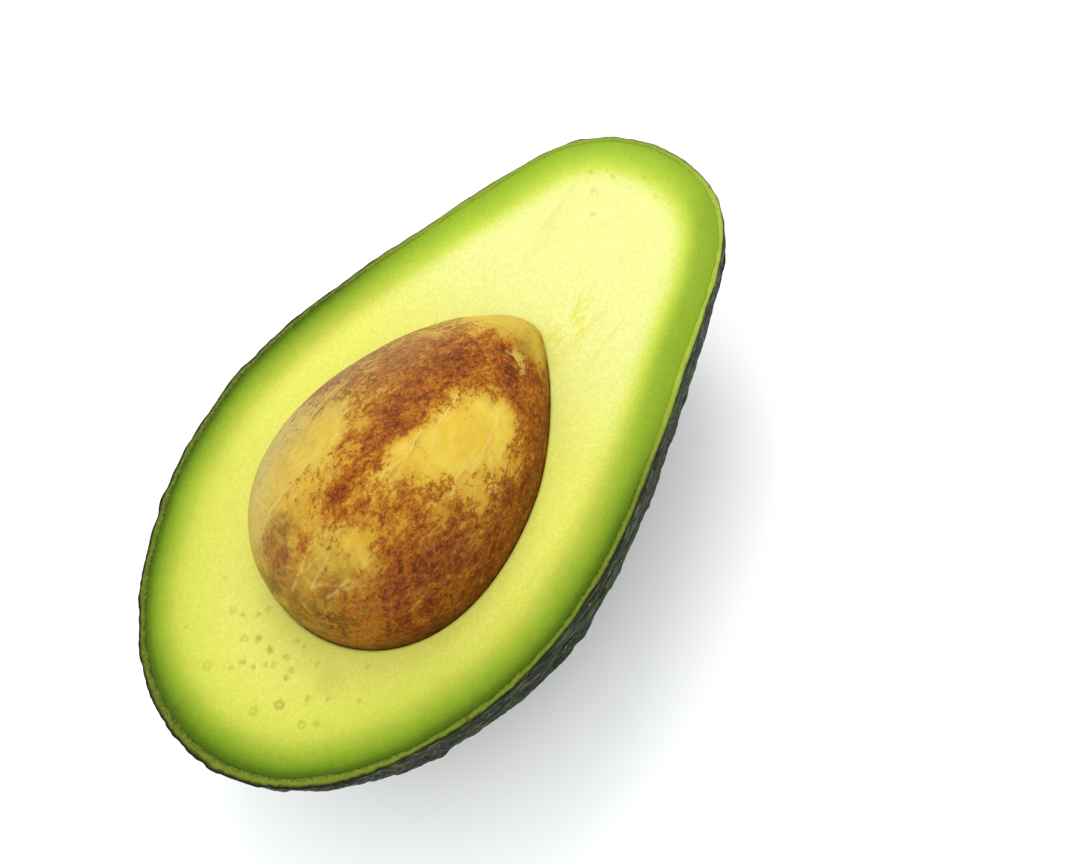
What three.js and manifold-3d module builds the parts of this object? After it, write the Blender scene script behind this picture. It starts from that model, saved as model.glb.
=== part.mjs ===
// An avocado half with its stone, lying on its back with the cut face up and level.
// Millimetres, +Z up. X runs along the fruit, from the blossom end (-X) to the neck (+X).
// Three pieces come apart on a bench: the peel, the flesh and the stone.
import * as THREE from "three";
import { mergeVertices } from "three/addons/utils/BufferGeometryUtils.js";
import Module from "manifold-3d";

// Fruit
const FRUIT_LENGTH = 102;
const HALF_WIDTH_TERMS = [30.5, 9.4, -5.9, -8.3, 10.1]; // egg terms: mean, taper, then waist and ends
const DEPTH_SHARE = 1.0; // depth of the half over its half width
const BEND = 0.5; // how far the middle of the fruit bows to one side

// Peel and flesh
const PEEL_THICKNESS = 1.4;
const FITTING_GAP = 0.3; // air between two solids that touch in the real fruit
const REST_SPOT_DEPTH = 0.8; // how much the weight flattens the underside

// Stone
const STONE_LENGTH = 49;
const STONE_RADIUS_TERMS = [17.1, 4.3, 0.3]; // mean, taper to the point, end
const STONE_FROM_MIDDLE = -5.5; // its centre, along X from the fruit's middle
const STONE_SIDEWAYS = -1.2;
const STONE_TURN = 0.035; // radians, about the upright axis

// Facets
const STEPS_ALONG = 40;
const STEPS_AROUND = 36;
const STONE_STEPS_ALONG = 24;
const STONE_STEPS_AROUND = 28;

const wasm = await Module();
wasm.setup();

// The sum a0 + a1 c + a2 c^2 + ...
function polynomial(terms, c) {
  return terms.reduce((sum, term, power) => sum + term * c ** power, 0);
}

// A closed egg about the X axis. The outline is a half ellipse whose height the terms change
// along its length; inset moves it inwards along its own normal.
function eggGeometry(length, terms, inset, stepsAlong, stepsAround) {
  const at = (t) => {
    const c = Math.cos(t);
    return new THREE.Vector2(Math.sin(t) * polynomial(terms, c), (-length * c) / 2);
  };
  const profile = [];
  for (let i = 0; i <= stepsAlong; i++) {
    const t = (Math.PI * i) / stepsAlong;
    const point = at(t);
    const ahead = at(t + 0.001).sub(at(t - 0.001)).normalize();
    point.x -= inset * ahead.y;
    point.y += inset * ahead.x;
    if (i === 0 || i === stepsAlong) point.x = 0;
    profile.push(point);
  }
  const egg = new THREE.LatheGeometry(profile, stepsAround);
  egg.rotateZ(-Math.PI / 2); // the lathe's axis, Y, becomes X
  return egg;
}

// The fruit's outer form, moved inwards by inset.
function fruitGeometry(inset) {
  const fruit = eggGeometry(FRUIT_LENGTH, HALF_WIDTH_TERMS, inset, STEPS_ALONG, STEPS_AROUND);
  const position = fruit.getAttribute("position");
  for (let i = 0; i < position.count; i++) {
    const along = position.getX(i) / (FRUIT_LENGTH / 2);
    position.setY(i, position.getY(i) + BEND * (1 - along * along));
    position.setZ(i, position.getZ(i) * DEPTH_SHARE);
  }
  return fruit;
}

// The stone's form, moved outwards by grown.
function stoneGeometry(grown) {
  const stone = eggGeometry(
    STONE_LENGTH,
    STONE_RADIUS_TERMS,
    -grown,
    STONE_STEPS_ALONG,
    STONE_STEPS_AROUND,
  );
  stone.rotateZ(STONE_TURN);
  stone.translate(STONE_FROM_MIDDLE, STONE_SIDEWAYS, 0);
  return stone;
}

function solid(geometry) {
  const bare = geometry.clone();
  bare.deleteAttribute("normal");
  bare.deleteAttribute("uv");
  const merged = mergeVertices(bare, 1e-4);
  return new wasm.Manifold(
    new wasm.Mesh({
      numProp: 3,
      vertProperties: merged.getAttribute("position").array,
      triVerts: new Uint32Array(merged.index.array),
    }),
  );
}

function geometryOf(made) {
  const mesh = made.getMesh();
  const geometry = new THREE.BufferGeometry();
  geometry.setAttribute("position", new THREE.BufferAttribute(mesh.vertProperties, 3));
  geometry.setIndex(new THREE.BufferAttribute(mesh.triVerts, 1));
  const flat = geometry.toNonIndexed();
  flat.computeVertexNormals();
  return flat;
}

// The space under the knife's cut (z = 0) and above the surface that the half rests on.
function keptSpace() {
  const depth = widestHalf() * DEPTH_SHARE - REST_SPOT_DEPTH;
  const box = new THREE.BoxGeometry(2 * FRUIT_LENGTH, 2 * FRUIT_LENGTH, depth);
  box.translate(0, 0, -depth / 2);
  return solid(box);
}

function widestHalf() {
  let widest = 0;
  for (let i = 1; i < STEPS_ALONG; i++) {
    const t = (Math.PI * i) / STEPS_ALONG;
    widest = Math.max(widest, Math.sin(t) * polynomial(HALF_WIDTH_TERMS, Math.cos(t)));
  }
  return widest;
}

const kept = keptSpace();

function peelMesh() {
  const shell = solid(fruitGeometry(0)).subtract(solid(fruitGeometry(PEEL_THICKNESS)));
  const material = new THREE.MeshStandardMaterial({
    color: new THREE.Color(0.035, 0.06, 0.02),
    roughness: 0.38,
    metalness: 0,
  });
  return new THREE.Mesh(geometryOf(shell.intersect(kept)), material);
}

function fleshMesh() {
  const body = solid(fruitGeometry(PEEL_THICKNESS + FITTING_GAP)).intersect(kept);
  const hollow = solid(stoneGeometry(FITTING_GAP));
  const material = new THREE.MeshStandardMaterial({
    color: new THREE.Color(0.82, 0.84, 0.27),
    roughness: 0.45,
    metalness: 0,
  });
  return new THREE.Mesh(geometryOf(body.subtract(hollow)), material);
}

function stoneMesh() {
  const material = new THREE.MeshStandardMaterial({
    color: new THREE.Color(0.5, 0.24, 0.06),
    roughness: 0.42,
    metalness: 0,
  });
  return new THREE.Mesh(geometryOf(solid(stoneGeometry(0))), material);
}

const avocado = new THREE.Group();
const pieces = { skin: peelMesh(), flesh: fleshMesh(), stone: stoneMesh() };
for (const [name, mesh] of Object.entries(pieces)) {
  mesh.name = name;
  avocado.add(mesh);
}

// The origin goes under the middle of the half, on the surface it rests on.
const extent = new THREE.Box3().setFromObject(avocado);
const middle = extent.getCenter(new THREE.Vector3());
avocado.position.set(-middle.x, -middle.y, -extent.min.z);

export default avocado;
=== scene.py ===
"""An avocado half with its stone, cut face up: dark pebbly peel, green-edged flesh and a brown stone."""

import math

import bpy
import numpy as np
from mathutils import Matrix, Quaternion, Vector, kdtree
from mathutils.bvhtree import BVHTree


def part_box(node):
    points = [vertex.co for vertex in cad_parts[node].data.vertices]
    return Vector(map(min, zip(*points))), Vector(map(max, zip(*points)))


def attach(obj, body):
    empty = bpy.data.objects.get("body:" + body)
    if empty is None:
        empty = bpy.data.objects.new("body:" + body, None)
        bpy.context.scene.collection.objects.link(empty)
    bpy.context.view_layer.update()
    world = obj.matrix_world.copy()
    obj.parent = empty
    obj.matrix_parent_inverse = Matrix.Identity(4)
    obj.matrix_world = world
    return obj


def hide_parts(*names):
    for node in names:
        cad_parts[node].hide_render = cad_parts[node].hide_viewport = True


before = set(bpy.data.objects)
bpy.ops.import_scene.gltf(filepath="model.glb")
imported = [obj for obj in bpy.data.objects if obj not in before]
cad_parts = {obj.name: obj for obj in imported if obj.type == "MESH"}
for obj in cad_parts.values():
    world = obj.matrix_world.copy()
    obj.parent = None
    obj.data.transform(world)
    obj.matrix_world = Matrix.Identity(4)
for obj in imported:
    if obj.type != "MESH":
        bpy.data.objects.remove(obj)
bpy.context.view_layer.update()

MM = 0.001
MM_IN_METRE = 1000.0
# The middle of what coloured noise gives
HALF = (0.5, 0.5, 0.5)

# The frame's own places
skin_low, skin_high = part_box("skin")
stone_low, stone_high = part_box("stone")
FRUIT_LENGTH = skin_high.x - skin_low.x
CUT_HEIGHT = skin_high.z
STONE_MIDDLE_X = (stone_low.x + stone_high.x) / 2

# The fruit and the stone as the frame has them: polynomials for the half width along each, in
# millimetres, how far the fruit bows, and how the stone lies in it
HALF_WIDTH_TERMS = (30.5, 9.4, -5.9, -8.3, 10.1)
BEND = 0.5 * MM
STONE_RADIUS_TERMS = (17.1, 4.3, 0.3)
STONE_AXIS_LENGTH = 49 * MM
STONE_SIDEWAYS = -1.2 * MM
STONE_TURN = 0.035
TIP_SLIMMING = 1.1 * MM

# Thin things
PEEL_THICKNESS = 1.02 * MM
HAIRLINE = 0.005 * MM
STONE_CLEARANCE = 0.04 * MM
HOLLOW_LIP = 0.4 * MM

# Columns round the rim, and fewer towards the poles
COLUMNS = 840, 420, 210, 105
# Rows of squares along an edge of the cube that the stone is blown up from
STONE_ROWS = 126

# How much brighter than a plain white card the lamps and the room make a level face
LIGHT_ON_FACE = 1.49


# ---------------------------------------------------------------- form


def egg_radius(terms, c):
    """Radius of an egg of revolution where the cosine along its axis is c: 1 at its broad end."""
    return np.sqrt(np.clip(1 - c * c, 0, 1)) * np.polyval(terms[::-1], c) * MM


def egg_normal(length, terms, c, radial_y, radial_z):
    """Outward direction on the egg, whose axis is X."""
    s = np.sqrt(np.clip(1 - c * c, 0, 1))
    slope = np.polyder(np.poly1d(terms[::-1]))
    climb = (c * np.polyval(terms[::-1], c) - s * s * slope(c)) * MM
    run = s * length / 2
    out = np.stack([-climb, run * radial_y, run * radial_z], -1)
    return out / np.linalg.norm(out, axis=-1, keepdims=True)


def broadest(terms):
    """The cosine at which the egg is broadest."""
    c = np.linspace(-1, 1, 2001)
    return c[np.argmax(egg_radius(terms, c))]


def egg_bowl(length, terms, turn, fall, inset):
    """Points on the lower half of an egg, and their outward directions.

    turn goes round the rim, and fall goes from 0 at the rim to a right angle at the lowest point.
    """
    low_x = -length / 2 * broadest(terms)
    rim_x = -length / 2 * np.cos(turn)
    rim_y = np.sin(turn) * np.polyval(terms[::-1], np.cos(turn)) * MM
    share = np.cos(fall)
    x = low_x + share * (rim_x - low_x)
    y = share * rim_y
    c = np.clip(-x / (length / 2), -1, 1)
    radius = np.maximum(egg_radius(terms, c), 1e-9)
    z = -np.sqrt(np.clip(radius**2 - y**2, 0, None))
    z = np.where(fall < 1e-6, 0.0, z)
    spoke = np.maximum(np.hypot(y, z), 1e-12)
    out = egg_normal(length, terms, c, y / spoke, z / spoke)
    points = np.stack([x, y, z], -1) - inset * out
    return points, out


def bow_middle():
    """Half way across the bowed outline, which the frame has at Y zero."""
    turn = np.linspace(0, 2 * math.pi, 4001)
    y = np.sin(turn) * np.polyval(HALF_WIDTH_TERMS[::-1], np.cos(turn)) * MM
    y = y + BEND * (1 - np.cos(turn) ** 2)
    return (y.max() + y.min()) / 2


BOW_MIDDLE = bow_middle()


def bow(points):
    """Bows the fruit's middle to one side and puts the cut face at its height."""
    bowed = points.copy()
    along = bowed[..., 0] / (FRUIT_LENGTH / 2)
    bowed[..., 1] += BEND * (1 - along**2) - BOW_MIDDLE
    bowed[..., 2] += CUT_HEIGHT
    return bowed


def fruit_ring(turn, fall_degrees, inset):
    """One level of the fruit: its points and their outward directions, inset by a thickness."""
    fall = np.full_like(turn, np.radians(fall_degrees))
    points, out = egg_bowl(FRUIT_LENGTH, HALF_WIDTH_TERMS, turn, fall, inset)
    return bow(points), out


def ease(value, low, high):
    """A smooth step from 0 at low to 1 at high."""
    share = np.clip((value - low) / (high - low), 0, 1)
    return share * share * (3 - 2 * share)


def seat_stone(points):
    """Turns and places what was made about the stone's own axis, and slims the -Y side of its tip."""
    ca, sa = math.cos(STONE_TURN), math.sin(STONE_TURN)
    x, y, z = points[..., 0], points[..., 1], points[..., 2]
    y = y + TIP_SLIMMING * ease(x, 5 * MM, 21 * MM) * ease(-y, 0, 7 * MM)
    return np.stack(
        [
            STONE_MIDDLE_X + x * ca - y * sa,
            STONE_SIDEWAYS - BOW_MIDDLE + x * sa + y * ca,
            CUT_HEIGHT + z,
        ],
        -1,
    )


def hollow_ring(turn, fall_degrees, clearance):
    """One level of the hollow that holds the stone."""
    fall = np.full_like(turn, np.radians(fall_degrees))
    points, out = egg_bowl(STONE_AXIS_LENGTH, STONE_RADIUS_TERMS, turn, fall, -clearance)
    return seat_stone(points), out


def wander(turn, seed, waves, size):
    """A smooth closed wave round the rim, made of a few sines."""
    rng = np.random.default_rng(seed)
    total = np.zeros_like(turn)
    for n in waves:
        total += rng.uniform(0.5, 1.0) * np.sin(n * turn + rng.uniform(0, 2 * math.pi))
    return size * total / len(waves) ** 0.5


def peel_thickness(turn):
    """The peel as cut: thicker round the broad end, thinner at the neck, and never quite even."""
    broad = np.clip(np.cos(turn), 0, 1) ** 2
    neck = np.clip(-np.cos(turn), 0, 1) ** 2
    slow = wander(turn, 3, range(3, 31, 2), 0.07 * MM)
    quick = wander(turn, 5, range(37, 120, 5), 0.05 * MM)
    return PEEL_THICKNESS + (0.4 * broad - 0.3 * neck) * MM + slow + quick


# ---------------------------------------------------------------- mesh building


def in_scene(name, data):
    """A new object with this data, in the scene."""
    made = bpy.data.objects.new(name, data)
    bpy.context.scene.collection.objects.link(made)
    return made


def store(mesh, name, values):
    """Writes a number or a direction for each point of the mesh."""
    values = np.asarray(values, np.float32)
    kind, field = ("FLOAT", "value") if values.ndim == 1 else ("FLOAT_VECTOR", "vector")
    mesh.attributes.new(name, kind, "POINT").data.foreach_set(field, values.ravel())


def smooth_piece(name, mesh):
    """Shades the finished form smooth and puts it in the scene."""
    mesh.polygons.foreach_set("use_smooth", [True] * len(mesh.polygons))
    mesh.validate()
    mesh.update()
    return in_scene(name, mesh)


class RingMesh:
    """A closed skin of rings round a common middle, from one pole to the other.

    A ring has as many points as its neighbour, half as many or twice as many. Each ring carries
    values of its own for the piece's attributes, and a place on the flat map.
    """

    def __init__(self):
        self.points, self.faces, self.rings = [], [], []
        self.values = {}
        self.maps = {}
        self.face_island = []
        self.count = 0

    def ring(self, points, island, **values):
        """Adds a ring, with faces from the ring before it on one island of the flat map."""
        points = np.asarray(points).reshape(-1, 3)
        start, size = self.count, len(points)
        self.points.append(points)
        for name, value in values.items():
            filled = np.broadcast_to(np.asarray(value, float), (size,) + np.shape(value)[1:])
            self.values.setdefault(name, []).append((start, np.array(filled)))
        self.count += size
        self.rings.append((start, size))
        if len(self.rings) > 1:
            self.join(island)

    def join(self, island):
        (a, n), (b, m) = self.rings[-2:]
        faces = []
        if n == 1 or m == 1:
            hub, start, size = (a, b, m) if n == 1 else (b, a, n)
            for j in range(size):
                k = (j + 1) % size
                faces.append((hub, start + k, start + j) if n == 1 else (start + j, start + k, hub))
        elif n == m:
            for j in range(n):
                k = (j + 1) % n
                faces.append((a + j, a + k, b + k, b + j))
        elif n == 2 * m:
            for j in range(m):
                p, q, r = a + 2 * j, a + 2 * j + 1, a + (2 * j + 2) % n
                s, t = b + j, b + (j + 1) % m
                faces += [(p, q, s), (q, t, s), (q, r, t)]
        else:
            for j in range(n):
                p, q, r = b + 2 * j, b + 2 * j + 1, b + (2 * j + 2) % m
                s, t = a + j, a + (j + 1) % n
                faces += [(q, p, s), (t, q, s), (r, q, t)]
        self.faces += faces
        self.face_island += [island] * len(faces)

    def build(self, name):
        mesh = bpy.data.meshes.new(name)
        points = np.concatenate(self.points)
        mesh.from_pydata(points.tolist(), [], self.faces)
        for key, runs in self.values.items():
            filled = np.zeros((self.count,) + runs[0][1].shape[1:])
            for start, value in runs:
                filled[start : start + len(value)] = value
            store(mesh, key, filled)
        self.lay_map(mesh)
        return smooth_piece(name, mesh)

    def lay_map(self, mesh):
        """Writes the flat map: each island of faces reads its own map places of the points."""
        layer = mesh.uv_layers.new(name="OFBake")
        corner_point = np.empty(len(mesh.loops), int)
        mesh.loops.foreach_get("vertex_index", corner_point)
        sizes = np.array([len(f) for f in self.faces])
        island = np.repeat(np.array(self.face_island), sizes)
        flat = np.zeros((len(corner_point), 2))
        for number, places in self.maps.items():
            chosen = island == number
            flat[chosen] = places[corner_point[chosen]]
        layer.data.foreach_set("uv", flat.astype(np.float32).ravel())


def spoke_map(built, centre, scale, squeeze):
    """Flat places for the first rings: the distance walked from the pole, in each column's direction.

    squeeze gives, for each of these rings, how much the map stretches the walked distance.
    """
    places = np.zeros((built.count, 2))
    before = built.points[0]
    walked = np.zeros(len(before))
    heart = before.mean(0)
    for (start, size), points, share in zip(built.rings, built.points, squeeze):
        step = size // len(before)
        ahead = np.linalg.norm(points - np.repeat(before, step, axis=0), axis=1)
        walked = np.repeat(walked, step) + share * np.minimum(ahead, ahead.mean() * 3)
        before = points
        spoke = points[:, :2] - heart[:2]
        length = np.maximum(np.linalg.norm(spoke, axis=1, keepdims=True), 1e-9)
        places[start : start + size] = centre + scale * walked[:, None] * spoke / length
    return places


def turns(size):
    return np.arange(size) * 2 * math.pi / size


# ---------------------------------------------------------------- node helpers


class Value:
    """One output of a node. Arithmetic with it adds the nodes that work the result out."""

    def __init__(self, socket):
        self.socket = socket
        self.tree = socket.id_data

    def __add__(self, other):
        return worked_out("ADD", self, other)

    def __sub__(self, other):
        return worked_out("SUBTRACT", self, other)

    def __rsub__(self, other):
        return worked_out("SUBTRACT", other, self)

    def __mul__(self, other):
        return worked_out("MULTIPLY", self, other)

    def __truediv__(self, other):
        return worked_out("DIVIDE", self, other)

    def __rtruediv__(self, other):
        return worked_out("DIVIDE", other, self)


def is_vector(value):
    """True for a place, a direction or a colour, false for a number."""
    if isinstance(value, Value):
        return value.socket.type in ("VECTOR", "RGBA")
    return isinstance(value, tuple)


def worked_out(operation, first, second):
    """Vector maths when the first value is a vector, and plain maths otherwise."""
    if not is_vector(first):
        return maths(operation, first, second)
    if operation == "MULTIPLY" and not is_vector(second):
        feeds, operation = {0: first, "Scale": second}, "SCALE"
    else:
        feeds = {0: first, 1: second}
    return take(put(first.tree, "ShaderNodeVectorMath", feeds, operation=operation))


def feed(node, key, value):
    """Gives an input a plain value, or links it to another node's output."""
    if isinstance(value, Value):
        node.id_data.links.new(value.socket, node.inputs[key])
    else:
        node.inputs[key].default_value = value


def put(tree, kind, feeds=None, **settings):
    """Adds one node. feeds maps an input's name or number to what it gets."""
    node = tree.nodes.new(kind)
    for name, value in settings.items():
        setattr(node, name, value)
    for key, value in (feeds or {}).items():
        feed(node, key, value)
    return node


def take(node, key=0):
    return Value(node.outputs[key])


def maths(operation, *values, clamp=False):
    tree = next(value.tree for value in values if isinstance(value, Value))
    return take(
        put(tree, "ShaderNodeMath", dict(enumerate(values)), operation=operation, use_clamp=clamp)
    )


def distance(first, second):
    node = put(first.tree, "ShaderNodeVectorMath", {0: first, 1: second}, operation="DISTANCE")
    return take(node, "Value")


def parts(where):
    """The X, Y and Z of a place."""
    node = put(where.tree, "ShaderNodeSeparateXYZ", {0: where})
    return [take(node, key) for key in range(3)]


def joined(tree, x=0.0, y=0.0, z=0.0):
    return take(put(tree, "ShaderNodeCombineXYZ", {0: x, 1: y, 2: z}))


def remap(value, low, high, to_low=0.0, to_high=1.0, smooth=True):
    """The value, with its range from low to high laid onto the other range and held at its ends."""
    feeds = {0: value, 1: low, 2: high, 3: to_low, 4: to_high}
    kind = "SMOOTHSTEP" if smooth else "LINEAR"
    return take(put(value.tree, "ShaderNodeMapRange", feeds, interpolation_type=kind))


def noise(where, per_metre, detail=2.0, rough=0.5, twist=0.0, colour=False):
    """Soft noise from 0 to 1, with about this many lumps to a metre."""
    feeds = {"Vector": where, "Scale": per_metre, "Detail": detail, "Roughness": rough}
    node = put(where.tree, "ShaderNodeTexNoise", {**feeds, "Distortion": twist})
    return take(node, 1 if colour else 0)


def cells(where, per_metre, feature="F1", smoothness=None):
    """Scattered cells, with about this many to a metre."""
    node = put(
        where.tree,
        "ShaderNodeTexVoronoi",
        {"Vector": where, "Scale": per_metre, "Randomness": 1.0},
        feature=feature,
    )
    if smoothness is not None:
        feed(node, "Smoothness", smoothness)
    return node


def tint(factor, *colours):
    """Goes from the first colour to the second; a plain colour is a screen colour, 0 to 255."""
    first, second = (c if isinstance(c, Value) else shade(*c) for c in colours)
    feeds = {0: factor, 6: first, 7: second}
    node = put(factor.tree, "ShaderNodeMix", feeds, data_type="RGBA", blend_type="MIX")
    return take(node, 2)


def ramp(factor, stops, interpolation="EASE"):
    """A run of colours. Each stop is its place, 0 to 1, then a screen colour."""
    node = put(factor.tree, "ShaderNodeValToRGB", {0: factor})
    band = node.color_ramp
    band.interpolation = interpolation
    while len(band.elements) < len(stops):
        band.elements.new(0.5)
    for element, (place, *colour) in zip(band.elements, stops):
        element.position = place
        element.color = shade(*colour)
    return take(node)


def shade(red, green, blue):
    """The surface colour that shows as this screen colour, 0 to 255, under the light on the cut face."""

    def linear(v):
        v /= 255
        return (v / 12.92 if v <= 0.04045 else ((v + 0.055) / 1.055) ** 2.4) / LIGHT_ON_FACE

    return (linear(red), linear(green), linear(blue), 1.0)


def centred(value):
    """A noise value, 0 to 1, as -1 to 1."""
    return maths("MULTIPLY_ADD", value, 2.0, -1.0)


def attribute(shader, name):
    """A number stored on the mesh, for a material."""
    return take(put(shader.id_data, "ShaderNodeAttribute", attribute_name=name), "Fac")


def new_material(name):
    material = bpy.data.materials.new(name)
    material.use_nodes = True
    tree = material.node_tree
    tree.nodes.clear()
    shader = put(tree, "ShaderNodeBsdfPrincipled")
    put(tree, "ShaderNodeOutputMaterial", {0: take(shader)})
    place = take(put(tree, "ShaderNodeTexCoord"), "Object")
    return material, shader, place


def emboss(shader, height, strength, depth, *inputs):
    """Fine relief in the light only, on the given inputs of the shader."""
    feeds = {"Strength": strength, "Distance": depth, "Height": height}
    bump = take(put(shader.id_data, "ShaderNodeBump", feeds))
    for name in inputs or ["Normal"]:
        feed(shader, name, bump)


def form_tree(name, *sizes):
    """A geometry tree with a mesh in, a material, a seed and the named sizes."""
    tree = bpy.data.node_groups.new(name, "GeometryNodeTree")
    face = tree.interface
    face.new_socket("Mesh", in_out="INPUT", socket_type="NodeSocketGeometry")
    for label in sizes:
        face.new_socket(label, in_out="INPUT", socket_type="NodeSocketFloat")
    face.new_socket("Seed", in_out="INPUT", socket_type="NodeSocketInt")
    face.new_socket("Material", in_out="INPUT", socket_type="NodeSocketMaterial")
    face.new_socket("Mesh", in_out="OUTPUT", socket_type="NodeSocketGeometry")
    entry = put(tree, "NodeGroupInput")
    return tree, lambda name: take(entry, name)


def close_tree(tree, given, shape):
    whole = take(put(tree, "GeometryNodeRealizeInstances", {0: shape}))
    feeds = {"Geometry": whole, "Material": given("Material")}
    put(tree, "NodeGroupOutput", {0: take(put(tree, "GeometryNodeSetMaterial", feeds))})
    return tree


def grown(piece, tree, material, seed, **sizes):
    """The piece as the tree makes it, as a plain mesh; the modifier goes again."""
    modifier = piece.modifiers.new(tree.name, "NODES")
    modifier.node_group = tree
    wanted = {"Seed": seed, "Material": material}
    wanted.update({key.replace("_", " ").title(): value for key, value in sizes.items()})
    for item in tree.interface.items_tree:
        if item.in_out == "INPUT" and item.name in wanted:
            modifier[item.identifier] = wanted[item.name]
    bpy.context.view_layer.update()
    graph = bpy.context.evaluated_depsgraph_get()
    made = bpy.data.meshes.new_from_object(
        piece.evaluated_get(graph), preserve_all_data_layers=True, depsgraph=graph
    )
    piece.modifiers.remove(modifier)
    return made


def here(tree):
    return take(put(tree, "GeometryNodeInputPosition"))


def moved(tree, shape, **feeds):
    """The shape with its points set to a Position or shifted by an Offset."""
    return take(put(tree, "GeometryNodeSetPosition", {"Geometry": shape, **feeds}))


def named(tree, name, kind="FLOAT"):
    """A number or direction stored on the mesh, for a geometry tree."""
    node = put(tree, "GeometryNodeInputNamedAttribute", {"Name": name}, data_type=kind)
    return Value(next(o for o in node.outputs if o.enabled and o.name == "Attribute"))


def keep(tree, shape, name, value, domain="POINT"):
    """Stores a number on the mesh."""
    node = put(
        tree,
        "GeometryNodeStoreNamedAttribute",
        {"Geometry": shape, "Name": name},
        data_type="FLOAT",
        domain=domain,
    )
    tree.links.new(value.socket, next(i for i in node.inputs if i.enabled and i.name == "Value"))
    return take(node)


def draw(tree, low, high, seed):
    """A random number for each point or piece."""
    return take(
        put(tree, "FunctionNodeRandomValue", {2: low, 3: high, "Seed": seed}, data_type="FLOAT"), 1
    )


# ---------------------------------------------------------------- peel


def peel_relief_tree():
    """Pebbles, soft lengthways wrinkles and shallow dents, pushed out along the peel's own directions."""
    tree, given = form_tree(
        "peel_relief", "Pebble Spacing", "Pebble Height", "Wrinkle Height", "Dent Height"
    )
    place = here(tree) + joined(tree, x=given("Seed") * 0.173)
    swayed = place + (noise(place, 160.0, 2.0, colour=True) - HALF) * 0.0035
    per_metre = 1.0 / given("Pebble Spacing")
    bumps = cells(swayed * (0.5, 1, 1), per_metre, "SMOOTH_F1", 0.3)
    pebble = remap(take(bumps, "Distance"), 0.05, 0.62, 1.0, 0.0)
    small = cells(swayed * (0.62, 1, 1), per_metre * 2.3, "SMOOTH_F1", 0.25)
    grit = remap(take(small, "Distance"), 0.05, 0.6, 1.0, 0.0)
    patchy = remap(noise(place, 70.0, 1.0), 0.35, 0.68, 0.35, 1.0)
    pebble_rise = pebble * patchy * given("Pebble Height")
    grit_rise = grit * (given("Pebble Height") * 0.28)
    waves = centred(noise(swayed * (0.2, 1, 1), 330.0, 3.0, 0.55, 0.6))
    folds = 0.3 - maths("ABSOLUTE", waves) * 2.4
    fold_rise = folds * given("Wrinkle Height")
    bumpy = pebble_rise + grit_rise + fold_rise - given("Pebble Height") * 0.42
    dent_rise = centred(noise(place, 85.0, 2.0)) * given("Dent Height")
    rise = (bumpy * named(tree, "roughness") + dent_rise) * named(tree, "outside")
    shape = moved(tree, given("Mesh"), Offset=named(tree, "outward", "FLOAT_VECTOR") * rise)
    # The weight presses a small flat spot into the underside.
    x, y, z = parts(here(tree))
    shape = moved(tree, shape, Position=joined(tree, x, y, maths("MAXIMUM", z, 0.0)))
    height = pebble * 0.6 + grit * 0.25 + folds * 0.5
    return close_tree(tree, given, keep(tree, shape, "relief", height))


def corky_speck_tree():
    """Raised corky specks, scattered over the outside and lying along the surface."""
    tree, given = form_tree("corky_specks", "Speck Width", "Speck Spacing")
    seed = given("Seed")
    scatter = put(
        tree,
        "GeometryNodeDistributePointsOnFaces",
        {
            "Mesh": given("Mesh"),
            "Distance Min": given("Speck Spacing"),
            "Density Max": 300000.0,
            "Seed": seed,
        },
        distribute_method="POISSON",
    )
    place = here(tree)
    crowd = remap(noise(place, 60.0, 2.0), 0.3, 0.66, 0.2, 0.9)
    above_floor = remap(parts(place)[2], 0.5 * MM, 0.8 * MM)
    feed(scatter, "Density Factor", crowd * (remap(named(tree, "outside"), 0.985, 0.995) * above_floor))
    speck = take(put(tree, "GeometryNodeMeshUVSphere", {"Segments": 7, "Rings": 4, "Radius": 1.0}))
    speck = take(put(tree, "GeometryNodeSetShadeSmooth", {0: speck}))
    share = remap(maths("POWER", draw(tree, 0.0, 1.0, seed), 3.0), 0.0, 1.0, 0.45, 1.1, smooth=False)
    width = share * given("Speck Width")
    long = draw(tree, 0.8, 2.0, seed + 3.0)
    feeds = {
        "Points": take(scatter, "Points"),
        "Instance": speck,
        "Rotation": take(scatter, "Rotation"),
        "Scale": joined(tree, width * long, width * 0.75, width * 0.24),
    }
    specks = take(put(tree, "GeometryNodeInstanceOnPoints", feeds))
    spin = joined(tree, z=draw(tree, -0.6, 0.6, seed + 5.0))
    feeds = {"Instances": specks, "Rotation": spin}
    specks = take(put(tree, "GeometryNodeRotateInstances", feeds))
    tone = draw(tree, 0.0, 1.0, seed + 9.0)
    return close_tree(tree, given, keep(tree, specks, "tone", tone, "INSTANCE"))


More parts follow.
